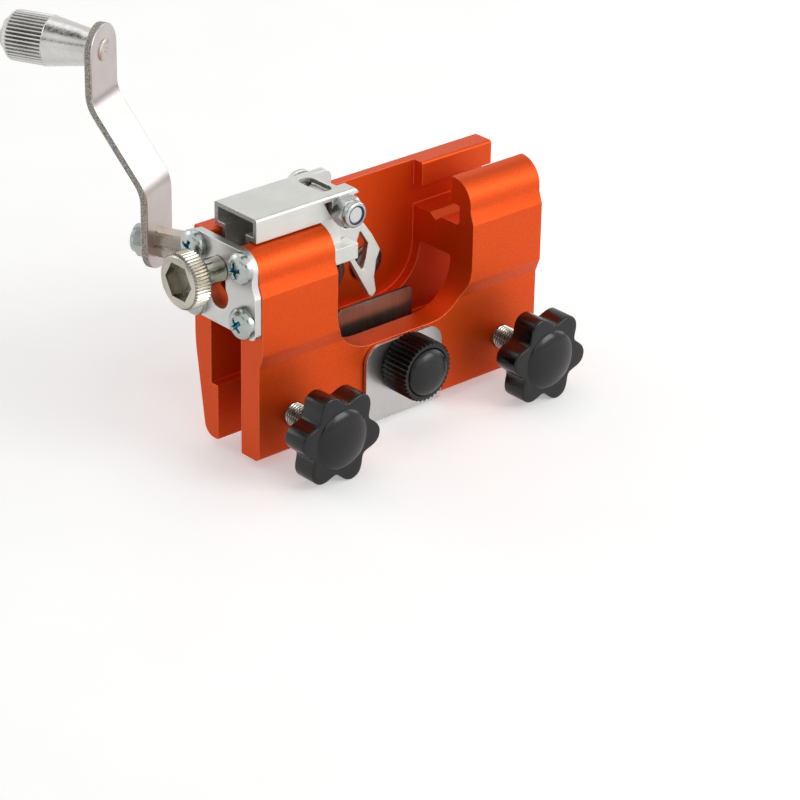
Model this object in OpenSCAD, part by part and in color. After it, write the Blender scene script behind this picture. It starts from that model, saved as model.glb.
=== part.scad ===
// Hand-cranked chainsaw sharpener: a clamp-on body for the guide bar, an angled burr spindle turned by a crank,
// and a screw-set carriage with a sprung chain stop. Millimetres.
// X runs along the bar, Y across it with the clamp knobs at -Y, and Z up.
// The origin is in the middle of the bar slot's mouth, at the foot of the body.

/* [Body] */
// Length of the body along the bar
body_l = 90; // [84:1:110]
// Height of the body
body_h = 54.4; // [54:0.1:58]
// Lower front face, measured from the middle of the bar
front_reach = 13.3; // [12.8:0.1:15]
// Upper front face, measured from the middle of the bar
upper_reach = 14.7; // [14.2:0.1:17]
// Rear face, measured from the middle of the bar
rear_reach = 10.8; // [10.2:0.1:13]
// Thickness of the front wall that carries the clamp studs
front_wall = 6.7; // [5.5:0.1:7.2]
// Width of the slot that takes the guide bar
slot_w = 4.6; // [4:0.1:5]
// Height of the bar slot, up to the chain cavity
slot_h = 14.5; // [12:0.1:16]
// Rear side of the chain cavity, from the middle of the bar
cavity_reach = 4.8; // [4:0.1:5.6]
// Roof of the chain cavity
cavity_top = 33.2; // [31:0.1:35]

/* [Window] */
// Width of the open window
window_w = 43.6; // [40:0.1:48]
// Floor of the window
window_floor = 20.7; // [19:0.1:22]
// Corner radius of the window
window_r = 12; // [8:0.5:14]
// Rear wall left behind the window
window_wall = 3.3; // [2.5:0.1:4]

/* [Carriage channel] */
// Middle of the carriage channel, from the middle of the bar
channel_y = -1; // [-1.3:0.1:-0.7]
// Gap between the two lips
lip_gap = 10.6; // [10:0.1:11.4]
// Width of the channel under the lips
channel_w = 17; // [16:0.1:17.6]
// Depth of the channel's floor below the top of the body
channel_depth = 12.2; // [11.8:0.1:13]
// Thickness of the front lip
front_lip_t = 7.2; // [6.8:0.1:7.8]
// Thickness of the rear lip
rear_lip_t = 6.6; // [6.2:0.1:7.2]

/* [Guide bushes] */
// Half of the distance between the two bushes at the window wall
bush_x = 6.35; // [6:0.05:8]
// Height of the bushes and of the burr
bush_z = 31; // [30:0.1:32]
// Angle of each bush across the bar
bush_angle = 25; // [20:1:30]
// Outer diameter of a bush
bush_d = 9.2; // [8.6:0.1:9.6]
// Length of a bush behind the window wall
bush_back = 13.6; // [10:0.1:15]
// How far a bush stands proud of the window wall
bush_proud = 0.6; // [0.3:0.1:1]

/* [Spindle and burr] */
// Diameter of the spindle shank
shank_d = 6; // [5.6:0.1:6.4]
// Radial running clearance of shafts, screws and pins
run_gap = 0.05; // [0.02:0.01:0.1]
// Diameter of the burr at its root
burr_d = 5; // [4.4:0.1:5.4]
// Diameter of the burr at its tip
burr_tip_d = 4.6; // [4:0.1:4.8]
// Length of the burr
burr_l = 15; // [12:0.5:18]
// How far the burr's tip stands past the window wall
burr_out = 3.5; // [2.5:0.1:3.8]
// Length of the shank in front of the washers
shank_l = 22.5; // [20:0.5:26]
// Width across flats of the hexagonal hub
hub_af = 6.7; // [6.3:0.1:7]
// Length of the hexagonal hub
hub_l = 10; // [8:0.5:12]
// Diameter of the thrust washers
washer_d = 11.8; // [10:0.1:13]
// Thickness of the pair of thrust washers
washer_t = 2; // [1.6:0.1:2.4]

/* [Crank] */
// Width of the crank arm
arm_w = 13.6; // [12:0.1:15]
// Thickness of the crank arm
arm_t = 2; // [1.6:0.1:2.6]
// Distance from the shaft up to the first bend
arm_low = 15.5; // [14:0.5:18]
// Height of the slanted part
arm_slant = 21; // [18:0.5:24]
// Outward step of the slanted part
arm_step = 14.7; // [12:0.1:17]
// Distance from the shaft to the grip pin
arm_throw = 48.7; // [46:0.1:54]
// Largest diameter of the grip
grip_d = 12.9; // [11.5:0.1:13.4]
// Smallest diameter of the grip, beside the arm
grip_neck_d = 9.3; // [8.6:0.1:10]
// Length of the tapered part of the grip
grip_taper_l = 13; // [11:0.5:15]
// Length of the knurled part of the grip
grip_knurl_l = 12; // [10:0.5:14]
// Diameter of the grip pin
grip_pin_d = 5; // [4.4:0.1:5.6]

/* [Carriage] */
// Length of the carriage
carriage_l = 31.4; // [30:0.1:32.4]
// Left end of the carriage
carriage_x = -42; // [-42.2:0.1:-41.4]
// Width of the carriage box
box_w = 15.6; // [15:0.1:16]
// Height of the carriage box
box_h = 6.1; // [5.7:0.1:7.3]
// Clearance between the carriage and the body
slide_gap = 0.3; // [0.2:0.05:0.4]
// Wall thickness of the carriage
box_wall = 1.2; // [1:0.05:1.4]
// Thickness of the wings that ride under the lips
wing_h = 4; // [3.4:0.1:4.2]
// Pivot of the chain stop, from the carriage's left end
pivot_dx = 26.6; // [26:0.1:27]
// Height of the chain stop's pivot over the top of the body
pivot_over = 2; // [1.6:0.1:2.4]
// Diameter of the pivot bolt
pivot_d = 4; // [3.6:0.1:4.2]

/* [Chain stop] */
// Distance from the pivot out to the knee of the stop
stop_w = 15.7; // [14:0.1:16.4]
// Distance from the pivot down to the toe of the stop
stop_h = 28.5; // [26:0.1:29]
// Thickness of the stop's plate
stop_t = 1.6; // [1.2:0.1:3]
// Length of the stop's hub along the pivot
stop_hub_l = 7; // [6:0.1:7]
// Radius of the stop's hub round the pivot
stop_hub_r = 2.9; // [2.8:0.05:3]

/* [Adjuster] */
// Depth of the adjuster screw below the top of the body
screw_under = 7.2; // [6.8:0.1:7.6]
// Thread diameter of the adjuster screw
adjuster_d = 6; // [5.6:0.1:6.2]
// Diameter of the adjuster's knurled head
adjuster_head_d = 14; // [12:0.1:15]
// Length of the adjuster's knurled head
adjuster_head_l = 5.2; // [4.4:0.1:6]
// Thickness of the end plate
plate_t = 2; // [1.6:0.1:2.4]

/* [Clamp and press] */
// Half of the distance between the clamp studs
clamp_x = 34; // [33:0.1:36]
// Height of the clamp studs
clamp_z = 9.6; // [9:0.1:11]
// Diameter of the clamp studs
stud_d = 6; // [5.4:0.1:6.4]
// Radius of a clamp knob at its lobes
knob_r = 12.2; // [11:0.1:13]
// Number of lobes of a clamp knob
knob_lobes = 6; // [5:1:8]
// Thickness of a clamp knob
knob_t = 7; // [6:0.1:8]
// Front of the clamp knobs, measured from the middle of the bar
knob_front = 30.9; // [29:0.1:33]
// Height of the press screw
press_z = 13.8; // [13:0.1:14.4]
// Diameter of the press screw
press_d = 5; // [4.4:0.1:5.4]
// Diameter of the fluted press knob
press_knob_d = 15.7; // [13:0.1:16]
// Length of the fluted press knob
press_knob_l = 10.3; // [8:0.1:11]
// Number of flutes on the press knob
press_flutes = 28; // [18:1:32]
// Width of the press clip
clip_w = 24.6; // [22:0.1:26]
// Thickness of the press clip
clip_t = 1; // [0.8:0.1:1.2]

/* [Hidden] */
$fn = 64;

// Every cutter runs this far past the face that it opens
over = 1;
// Steps in the arc of a rounded corner
arc_steps = 10;
// Sides of nuts, sockets and hexagonal hubs
hex_sides = 6;

// Rounded outlines: each row is x, y and the corner's radius
function unit(v) = v / norm(v);
function corner(before, at, after, r) =
  r == 0 ? [at] :
  let (
    u = unit(before - at),
    w = unit(after - at),
    half = acos(max(-1, min(1, u * w))) / 2,
    centre = at + unit(u + w) * r / sin(half),
    first = at + u * r / tan(half) - centre,
    last = at + w * r / tan(half) - centre,
    start = atan2(first[1], first[0]),
    turn = atan2(first[0] * last[1] - first[1] * last[0], first * last)
  )
  [for (i = [0 : arc_steps]) centre + r * [cos(start + turn * i / arc_steps), sin(start + turn * i / arc_steps)]];
function flat(rows) = [for (row = rows) for (point = row) point];
function rounded(rows) =
  let (n = len(rows), p = [for (row = rows) [row[0], row[1]]])
  flat([for (i = [0 : n - 1]) corner(p[(i + n - 1) % n], p[i], p[(i + 1) % n], rows[i][2])]);

// Extrusions of a Y, Z outline along X, and of an X, Z outline along Y
module along_x(x0, x1) {
  translate([x0, 0, 0]) rotate([90, 0, 90]) linear_extrude(x1 - x0) children();
}
module along_y(y0, y1) {
  translate([0, y1, 0]) rotate([90, 0, 0]) linear_extrude(y1 - y0) children();
}
module rod_y(y0, y1, r) {
  translate([0, y1, 0]) rotate([90, 0, 0]) cylinder(h = y1 - y0, r = r);
}
module rod_x(x0, x1, r) {
  translate([x0, 0, 0]) rotate([0, 90, 0]) cylinder(h = x1 - x0, r = r);
}
// Turned piece round the Z axis from rows of radius and height
module turned(points) {
  rotate_extrude() polygon(points);
}
module hexagon(af, h) {
  cylinder(h = h, r = af / 2 / cos(180 / hex_sides), $fn = hex_sides);
}
// Half of an oval dome of radius r and height h that stands at height z, from its edge to its middle
function dome(r, z, h) = [for (i = [0 : arc_steps]) [r * cos(90 * i / arc_steps), z + h * sin(90 * i / arc_steps)]];
// Round outline with a number of lobes, whose valleys are cut to the depth
module lobed_outline(r, depth, lobes, lobe_points) {
  points = lobes * lobe_points;
  polygon([
    for (i = [1 : points])
      let (a = 360 * i / points)
      (r - depth * pow(sin(a * lobes / 2), 2)) * [cos(a), sin(a)]
  ]);
}

// Body profile
channel_floor = body_h - channel_depth;
front_lip_z = body_h - front_lip_t;
rear_lip_z = body_h - rear_lip_t;
foot_r = 1.5;
ledge_z = 24.6;
ledge_h = 3.7;
brow_z = 43.5;
brow_h = 3.1;
brow_in = 1.1;
brow_reach = upper_reach - brow_in;
lip_r = 0.7;
lip_flat = 0.1;
lip_slope = 0.4;
small_r = 0.4;
groove_w = 4.2;
groove_depth = 1.5;
taper_z = 24;
rear_foot = 3.8;
rear_foot_r = 3.4;
taper_r = 40;
cavity_r = 1;
jaw_y = -(front_reach - front_wall);
body_x = body_l / 2;
channel_front = channel_y - channel_w / 2;
channel_rear = channel_y + channel_w / 2;
lip_front = channel_y - lip_gap / 2;
lip_rear = channel_y + lip_gap / 2;
shoulder_r = brow_reach + lip_front - lip_r - lip_flat;
pocket_y = rear_reach - window_wall;

module body_outline() {
  polygon(rounded([
    [-front_reach, 0, foot_r],
    [-front_reach, ledge_z, small_r],
    [-upper_reach, ledge_z + ledge_h, small_r],
    [-upper_reach, brow_z, small_r],
    [-brow_reach, brow_z + brow_h, 0],
    [-brow_reach, body_h, shoulder_r],
    [lip_front, body_h, lip_r],
    [lip_front, front_lip_z + lip_slope, 0],
    [channel_front, front_lip_z, small_r],
    [channel_front, channel_floor, cavity_r],
    [channel_y - groove_w / 2, channel_floor, 0],
    [channel_y, channel_floor - groove_depth, small_r],
    [channel_y + groove_w / 2, channel_floor, 0],
    [channel_rear, channel_floor, small_r],
    [channel_rear, rear_lip_z, small_r],
    [lip_rear, rear_lip_z + lip_slope, 0],
    [lip_rear, body_h, lip_r],
    [rear_reach, body_h, cavity_r],
    [rear_reach, taper_z, taper_r],
    [rear_reach - rear_foot, 0, rear_foot_r],
    [slot_w / 2, 0, small_r],
    [slot_w / 2, slot_h, small_r],
    [cavity_reach, slot_h, small_r],
    [cavity_reach, cavity_top, cavity_r],
    [jaw_y, cavity_top, cavity_r],
    [jaw_y, 0, small_r]
  ]));
}

module window_outline() {
  translate([-window_w / 2, window_floor + window_r]) square([window_w, body_h]);
  translate([window_r - window_w / 2, window_floor]) square([window_w - 2 * window_r, body_h]);
  for (side = [-1, 1]) {
    translate([side * (window_w / 2 - window_r), window_floor + window_r]) circle(r = window_r);
  }
}

// End plate and its screws: places as Y and Z
plate_x = -body_x - plate_t;
plate_inset = 0.3;
plate_h = 21.6;
plate_foot = body_h - plate_h;
screw_z = body_h - screw_under;
plate_front_r = 5;
plate_rear_r = 2;
plate_rear = 9.7;
key_drop = 6.8;
key_r = 3.4;
thread_r = adjuster_d / 2;
neck_r = 2.35;
neck_gap = 0.1;
m4_r = 2;
m4_head_r = 4;
m4_head_t = 3;
m4_head_round = 1.4;
m4_recess_r = 1.9;
m4_depth = 10;
screw_front_top = 4.7;
screw_in = 4.2;
screw_rear_in = 3.3;
screw_up = 3.3;
screw_low = 3.8;
screw_places = [
  [screw_front_top - upper_reach, screw_z + screw_up],
  [screw_in - upper_reach, plate_foot + screw_low],
  [rear_reach - screw_rear_in, screw_z + screw_up],
  [rear_reach - screw_rear_in, plate_foot + screw_low]
];

module main_body() {
  color("orangered")
  difference() {
    along_x(-body_x, body_x) body_outline();
    along_y(-upper_reach - over, pocket_y) window_outline();
    for (side = [-1, 1]) {
      at_bush(side) translate([0, 0, -bush_back]) cylinder(h = bush_back + bush_d, r = bush_d / 2);
      translate([side * clamp_x, 0, clamp_z]) rod_y(-front_reach - over, jaw_y + over, stud_d / 2 + run_gap);
    }
    translate([0, 0, press_z]) rod_y(-front_reach - over, jaw_y + over, press_d / 2 + run_gap);
    for (p = screw_places) {
      translate([0, p[0], p[1]]) rod_x(-body_x - over, -body_x + m4_depth, m4_r);
    }
  }
}

module plate_outline() {
  polygon(rounded([
    [-upper_reach + plate_inset, plate_foot, foot_r],
    [-upper_reach + plate_inset, brow_z, small_r],
    [-brow_reach + plate_inset, brow_z + brow_h, 0],
    [-brow_reach + plate_inset, body_h, plate_front_r],
    [plate_rear, body_h, plate_rear_r],
    [plate_rear, plate_foot, plate_rear_r]
  ]));
}

module end_plate() {
  color("lightsteelblue")
  difference() {
    along_x(plate_x, -body_x) plate_outline();
    translate([0, channel_y, screw_z - key_drop]) rod_x(plate_x - over, over - body_x, key_r);
    translate([0, channel_y, screw_z]) rod_x(plate_x - over, over - body_x, neck_r + neck_gap);
    translate([plate_x - over, channel_y - neck_r - neck_gap, screw_z - key_drop])
      cube([plate_t + 2 * over, 2 * (neck_r + neck_gap), key_drop]);
    for (p = screw_places) {
      translate([0, p[0], p[1]]) rod_x(plate_x - over, over - body_x, m4_r);
    }
  }
}

module pan_screw(length) {
  difference() {
    turned([
      [0, -m4_head_t],
      [m4_head_r - m4_head_round, -m4_head_t],
      [m4_head_r - m4_head_round / 3, -m4_head_t + m4_head_round / 3],
      [m4_head_r, -m4_head_t + m4_head_round],
      [m4_head_r, 0],
      [m4_r, 0],
      [m4_r, length],
      [0, length]
    ]);
    for (turn = [0, 90]) {
      rotate([0, 0, turn]) translate([-m4_recess_r, -m4_recess_r / 4, -m4_head_t - over])
        cube([2 * m4_recess_r, m4_recess_r / 2, over + m4_recess_r]);
    }
  }
}

module end_plate_screws() {
  color("lightsteelblue")
  for (p = screw_places) {
    translate([plate_x, p[0], p[1]]) rotate([0, 90, 0]) pan_screw(plate_t + m4_depth - over);
  }
}

// Bush frame: Z runs along the spindle towards the window, Y is up, and zero is at the window wall
module at_bush(side) {
  mirror([side > 0 ? 1 : 0, 0, 0]) translate([-bush_x, pocket_y, bush_z]) rotate([90, 0, bush_angle]) children();
}

bore_r = shank_d / 2 + run_gap;
bush_chamfer = 0.8;

module guide_bush(side) {
  color("dimgray")
  intersection() {
    at_bush(side) turned([
      [bore_r, -bush_back],
      [bush_d / 2 - bush_chamfer, -bush_back],
      [bush_d / 2, bush_chamfer - bush_back],
      [bush_d / 2, bush_d],
      [bore_r, bush_d]
    ]);
    translate([-body_l, pocket_y - bush_proud, 0]) cube([2 * body_l, body_l, body_h]);
  }
}
module guide_bush_left() { guide_bush(-1); }
module guide_bush_right() { guide_bush(1); }

// Press clip: a strip bent round the foot of the front wall
clip_gap = 0.2;
clip_bend = 2.4;
clip_back_r = 1.8;
clip_front_r = 4.5;
clip_top = 20.4;
clip_leaf_top = 26.5;
clip_front = -front_reach - clip_gap - clip_t;
clip_back = -slot_w / 2;
clip_foot = -clip_gap - clip_t;
clip_mid = (clip_front + clip_back) / 2;
press_hole_gap = 0.3;

module clip_strip(x0, x1) {
  along_x(x0, x1) difference() {
    polygon(rounded([
      [clip_front, clip_leaf_top + over, 0],
      [clip_front, clip_foot, clip_bend],
      [clip_back, clip_foot, clip_bend],
      [clip_back, clip_leaf_top + over, 0]
    ]));
    polygon(rounded([
      [clip_front + clip_t, clip_leaf_top + 2 * over, 0],
      [clip_front + clip_t, clip_foot + clip_t, clip_bend - clip_t],
      [clip_back - clip_t, clip_foot + clip_t, clip_bend - clip_t],
      [clip_back - clip_t, clip_leaf_top + 2 * over, 0]
    ]));
  }
}

module clip_face(y0, y1, top, r) {
  along_y(y0, y1) polygon(rounded([
    [-clip_w / 2, clip_foot - over, 0],
    [-clip_w / 2, top, r],
    [clip_w / 2, top, r],
    [clip_w / 2, clip_foot - over, 0]
  ]));
}

module press_clip() {
  color("silver")
  difference() {
    intersection() {
      clip_strip(-clip_w / 2, clip_w / 2);
      union() {
        clip_face(clip_front - over, clip_mid, clip_top, clip_front_r);
        clip_face(clip_mid, clip_back + over, clip_leaf_top, clip_back_r);
      }
    }
    translate([0, 0, press_z]) rod_y(clip_front - over, clip_mid, press_d / 2 + press_hole_gap);
  }
}

// Press screw and its fluted knob
press_tip_gap = 0.1;
press_tip = clip_back - clip_t - press_tip_gap;
tip_chamfer = 0.6;
press_knob_back = clip_front - slide_gap;
press_knob_face = press_knob_back - press_knob_l;
press_screw_end = 2;
press_rim_l = 8.3;
press_dome_in = 1.9;
press_dome_r = press_knob_d / 2 - press_dome_in;
flute_depth = 0.6;
flute_points = 6;

module screw_rod_y(y0, y1, r) {
  translate([0, y1, 0]) rotate([90, 0, 0]) turned([
    [0, 0],
    [r - tip_chamfer, 0],
    [r, tip_chamfer],
    [r, y1 - y0],
    [0, y1 - y0]
  ]);
}

module press_screw() {
  color("gray")
  translate([0, 0, press_z]) screw_rod_y(press_knob_face + press_screw_end, press_tip, press_d / 2);
}

module press_knob() {
  color("dimgray")
  translate([0, press_knob_back, press_z]) rotate([90, 0, 0]) difference() {
    union() {
      linear_extrude(press_rim_l) lobed_outline(press_knob_d / 2, flute_depth, press_flutes, flute_points);
      turned(concat([[0, 0], [press_dome_r, 0]], dome(press_dome_r, press_rim_l, press_knob_l - press_rim_l)));
    }
    translate([0, 0, -over]) cylinder(h = press_knob_l - press_screw_end + over, r = press_d / 2 + run_gap);
  }
}

// Clamp studs and lobed knobs
stud_tip_gap = 0.1;
stud_tip = -slot_w / 2 - stud_tip_gap;
stud_end = 2;
knob_valley = 2.5;
knob_edge = 2.4;
knob_dome_r = 8;
knob_dome_h = 2;
knob_turn = -10;
lobe_points = 12;

module clamp_knob(side) {
  color("dimgray")
  translate([side * clamp_x, knob_t - knob_front, clamp_z]) rotate([90, 0, 0]) rotate([0, 0, knob_turn]) difference() {
    union() {
      intersection() {
        linear_extrude(knob_t) lobed_outline(knob_r, knob_valley, knob_lobes, lobe_points);
        turned(rounded([
          [0, 0, 0],
          [knob_r + over, 0, knob_edge],
          [knob_r + over, knob_t, knob_edge],
          [0, knob_t, 0]
        ]));
      }
      turned(concat([[0, knob_t / 2], [knob_dome_r, knob_t / 2]], dome(knob_dome_r, knob_t, knob_dome_h)));
    }
    translate([0, 0, -over]) cylinder(h = knob_t - stud_end + over, r = stud_d / 2 + run_gap);
  }
}

module clamp_stud(side) {
  color("gray")
  translate([side * clamp_x, 0, clamp_z]) screw_rod_y(stud_end - knob_front, stud_tip, stud_d / 2);
}
module clamp_stud_left() { clamp_stud(-1); }
module clamp_stud_right() { clamp_stud(1); }
module clamp_knob_left() { clamp_knob(-1); }
module clamp_knob_right() { clamp_knob(1); }

// Adjuster screw: a knurled head, a plain shank, a groove that sits in the end plate, and the thread
collar_gap = 0.15;
shank_out_r = 3.25;
shank_out_l = 7.2;
adjuster_end = -25;
head_chamfer = 0.6;
socket_af = 8.5;
socket_depth = 4;

module adjuster_screw() {
  color("silver")
  translate([plate_x, channel_y, screw_z]) rotate([0, 90, 0]) difference() {
    turned([
      [0, -shank_out_l - adjuster_head_l],
      [adjuster_head_d / 2 - head_chamfer, -shank_out_l - adjuster_head_l],
      [adjuster_head_d / 2, head_chamfer - shank_out_l - adjuster_head_l],
      [adjuster_head_d / 2, -shank_out_l - head_chamfer],
      [adjuster_head_d / 2 - head_chamfer, -shank_out_l],
      [shank_out_r, -shank_out_l],
      [shank_out_r, -collar_gap],
      [neck_r, -collar_gap],
      [neck_r, plate_t + collar_gap],
      [thread_r, plate_t + collar_gap],
      [thread_r, adjuster_end - plate_x - tip_chamfer],
      [thread_r - tip_chamfer, adjuster_end - plate_x],
      [0, adjuster_end - plate_x]
    ]);
    translate([0, 0, -shank_out_l - adjuster_head_l - over]) hexagon(socket_af, socket_depth + over);
  }
}

// Carriage: a box over the lips, a neck through them and wings in the channel below
carriage_end = carriage_x + carriage_l;
box_front = channel_y - box_w / 2;
box_rear = channel_y + box_w / 2;
box_foot = body_h + slide_gap;
box_top = box_foot + box_h;
pivot_z = body_h + pivot_over;
neck_half = lip_gap / 2 - slide_gap;
neck_in = neck_half - box_wall;
wing_half = channel_w / 2 - slide_gap;
wing_foot = channel_floor + slide_gap;
wing_top = wing_foot + wing_h;
wing_end = carriage_end - slide_gap;
pivot_x = carriage_x + pivot_dx;
ear_r = 3.4;
ear_chamfer = 1;
rear_ear_in = channel_y + neck_half + slide_gap;
rear_ear_end = carriage_end + 2.6;
rear_ear_r = 2.4;
rear_ear_low_r = 1.2;
box_edge_r = 0.8;
notch_depth = 3.6;
slot_x = 2.2;
slot_half = 2.1;
cut_x_shares = [1.76, 1.29, 0.41, -0.53];
cut_z_shares = [0.86, 0.03, -0.85, -1.88];

module box_outline() {
  polygon(rounded([
    [box_front, box_foot, 0],
    [box_rear, box_foot, 0],
    [box_rear, box_top, box_edge_r],
    [box_front, box_top, box_edge_r]
  ]));
}

module carriage_outline() {
  difference() {
    union() {
      box_outline();
      translate([channel_y - neck_half, wing_foot]) square([2 * neck_half, box_top - wing_foot - box_wall / 2]);
      translate([channel_y - wing_half, wing_foot]) square([2 * wing_half, wing_h]);
    }
    translate([box_front + box_wall, box_foot + box_wall])
      square([box_w - 2 * box_wall, box_top - box_foot - 2 * box_wall]);
    translate([channel_y - neck_in, wing_foot + box_wall]) square([2 * neck_in, box_foot - wing_foot]);
  }
}

// Cut in the side wall and neck that clears the stop's hub and spring, as shares of the ear's radius
module neck_cut_outline() {
  polygon([
    for (i = [0 : len(cut_x_shares) - 1])
      [pivot_x - ear_r * cut_x_shares[i], pivot_z + ear_r * cut_z_shares[i]],
    [pivot_x - ear_r * cut_x_shares[3], wing_top],
    [carriage_end + over, wing_top],
    [carriage_end + over, pivot_z + ear_r * cut_z_shares[0]]
  ]);
}

module side_cut_outline() {
  difference() {
    neck_cut_outline();
    translate([pivot_x, pivot_z]) circle(r = ear_r);
    translate([pivot_x - ear_r, pivot_z]) square([2 * ear_r, box_top - pivot_z]);
  }
}

module top_slot_outline() {
  straight = neck_half - slot_half;
  translate([-slot_half, -straight]) square([2 * slot_half, 2 * straight]);
  for (y = [-straight, straight]) {
    translate([0, y]) circle(r = slot_half);
  }
}

module rear_ear() {
  intersection() {
    along_x(carriage_end - notch_depth, rear_ear_end) box_outline();
    along_y(rear_ear_in, box_rear) polygon(rounded([
      [carriage_x, box_foot, 0],
      [rear_ear_end, box_foot, rear_ear_low_r],
      [rear_ear_end, box_top, rear_ear_r],
      [carriage_x, box_top, 0]
    ]));
  }
}

module front_chamfer_outline() {
  polygon([
    [carriage_end - ear_chamfer, box_top + over],
    [carriage_end - ear_chamfer, box_top],
    [carriage_end, box_top - ear_chamfer],
    [carriage_end + over, box_top - ear_chamfer],
    [carriage_end + over, box_top + over]
  ]);
}

module carriage() {
  color("gainsboro")
  difference() {
    union() {
      along_x(carriage_x, carriage_end) carriage_outline();
      rear_ear();
      translate([pivot_x, 0, pivot_z]) {
        rod_y(box_front, box_front + box_wall, ear_r);
        rod_y(box_rear - box_wall, box_rear, ear_r);
      }
    }
    // open end of the wings, and the notch and slot in the top
    translate([wing_end, box_front - over, wing_foot - over])
      cube([carriage_l, box_w + 2 * over, wing_top - wing_foot + 2 * over]);
    translate([stop_seat_x, channel_y - neck_in, wing_foot - over])
      cube([carriage_l, 2 * neck_in, box_foot - wing_foot]);
    translate([carriage_end - notch_depth, channel_y - neck_in, box_foot])
      cube([carriage_l, rear_ear_in - channel_y + neck_in, box_top]);
    translate([pivot_x - slot_x, channel_y, box_top - box_wall - over])
      linear_extrude(box_wall + 2 * over) top_slot_outline();
    along_y(box_front - over, box_front + box_wall) side_cut_outline();
    along_y(box_front - over, channel_y - neck_in) front_chamfer_outline();
    along_y(box_front + box_wall, channel_y + neck_half + slide_gap) neck_cut_outline();
    translate([pivot_x, 0, pivot_z]) rod_y(box_front - over, box_rear + over, pivot_d / 2);
  }
}

// Threaded block in the carriage's neck
nut_block_x = 6;
nut_block_l = 8;
nut_block_h = 8;

module carriage_nut() {
  color("gray")
  difference() {
    translate([carriage_x + nut_block_x, channel_y - neck_in, wing_foot + box_wall])
      cube([nut_block_l, 2 * neck_in, nut_block_h]);
    translate([carriage_x, channel_y, screw_z]) rod_x(0, carriage_l, thread_r + run_gap);
  }
}

// Pivot bolt with its self-locking nut
bolt_head_r = 4.8;
bolt_head_t = 2.4;
bolt_rim_t = 1.2;
bolt_dome_share = 0.55;
bolt_socket_af = 2.5;
nut_af = 7;
nut_hex_t = 3.4;
nut_collar_t = 1.6;
nut_collar_r = 3.5;
nut_ring_r = 2.4;
nut_ring_t = 1;
bolt_end_gap = 0.3;

module pivot_bolt() {
  color("silver")
  translate([pivot_x, box_rear, pivot_z]) rotate([90, 0, 0]) difference() {
    turned([
      [0, -bolt_head_t],
      [bolt_head_r * bolt_dome_share, -bolt_head_t],
      [bolt_head_r, -bolt_rim_t],
      [bolt_head_r, 0],
      [pivot_d / 2, 0],
      [pivot_d / 2, box_w + nut_hex_t + nut_collar_t - bolt_end_gap],
      [0, box_w + nut_hex_t + nut_collar_t - bolt_end_gap]
    ]);
    translate([0, 0, -bolt_head_t - over]) hexagon(bolt_socket_af, over + bolt_head_t / 2);
    // flat on the head, just above the body, that keeps the bolt from turning
    translate([-bolt_head_r, box_foot - pivot_z - bolt_head_r, -bolt_head_t - over])
      cube([2 * bolt_head_r, bolt_head_r, bolt_head_t + over]);
  }
}

module lock_nut(af, hex_t, collar_r, collar_t, ring_r, ring_t, bore) {
  difference() {
    union() {
      hexagon(af, hex_t);
      turned([
        [0, 0],
        [collar_r, 0],
        [collar_r, hex_t + collar_t / 2],
        [collar_r - collar_t / 2, hex_t + collar_t],
        [0, hex_t + collar_t]
      ]);
    }
    translate([0, 0, -over]) cylinder(h = hex_t + collar_t + 2 * over, r = bore);
    translate([0, 0, hex_t + collar_t - ring_t]) cylinder(h = ring_t + over, r = ring_r);
  }
}

module nut_ring(ring_r, ring_t, bore) {
  difference() {
    cylinder(h = ring_t, r = ring_r);
    translate([0, 0, -over]) cylinder(h = ring_t + 2 * over, r = bore);
  }
}

module at_pivot_nut() {
  translate([pivot_x, box_front, pivot_z]) rotate([90, 0, 0]) children();
}

module pivot_nut() {
  color("silver")
  at_pivot_nut() lock_nut(nut_af, nut_hex_t, nut_collar_r, nut_collar_t, nut_ring_r, nut_ring_t, pivot_d / 2);
}

module pivot_nut_ring() {
  color("midnightblue")
  at_pivot_nut() translate([0, 0, nut_hex_t + nut_collar_t - nut_ring_t]) nut_ring(nut_ring_r, nut_ring_t, pivot_d / 2);
}

// Torsion spring round the pivot, between the front ear and the stop: one wire with a long leg at each end
wire_r = 0.3;
coil_fit = 0.1;
coil_side_gap = 0.15;
coil_r = pivot_d / 2 + wire_r + coil_fit;
coil_turns = 2.25;
coil_steps = 24;
wire_sides = 6;
spring_y0 = box_front + box_wall + wire_r + coil_side_gap;
spring_y1 = channel_y - stop_hub_l / 2 - wire_r - coil_side_gap;
coil_start = 90;
leg_l = 4;

function coil_point(i) =
  let (a = coil_start - 360 * i / coil_steps)
  [coil_r * cos(a), spring_y0 + (spring_y1 - spring_y0) * i / (coil_steps * coil_turns), coil_r * sin(a)];
coil = [for (i = [0 : coil_steps * coil_turns]) coil_point(i)];
coil_last = coil[len(coil) - 1];
function along(i) = unit([coil[i + 1][0] - coil[i][0], 0, coil[i + 1][2] - coil[i][2]]);
spring_path = concat(
  [coil[0] - leg_l * along(0)],
  coil,
  [coil_last + leg_l * along(len(coil) - 2)]
);
function tangent(path, i) = unit(path[min(i + 1, len(path) - 1)] - path[max(i - 1, 0)]);
function ring_at(path, i) =
  let (t = tangent(path, i), side = unit(cross(t, [0, 1, 0])), up = cross(side, t))
  [for (k = [0 : wire_sides - 1])
    path[i] + wire_r * (cos(360 * k / wire_sides) * side + sin(360 * k / wire_sides) * up)];

module tube(path) {
  n = len(path);
  points = flat([for (i = [0 : n - 1]) ring_at(path, i)]);
  sides = flat([
    for (i = [0 : n - 2]) [
      for (k = [0 : wire_sides - 1])
        let (a = i * wire_sides + k, b = i * wire_sides + (k + 1) % wire_sides)
        [a, b, b + wire_sides, a + wire_sides]
    ]
  ]);
  first = [for (k = [wire_sides - 1 : -1 : 0]) k];
  last = [for (k = [0 : wire_sides - 1]) (n - 1) * wire_sides + k];
  polyhedron(points, concat(sides, [first, last]));
}

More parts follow.
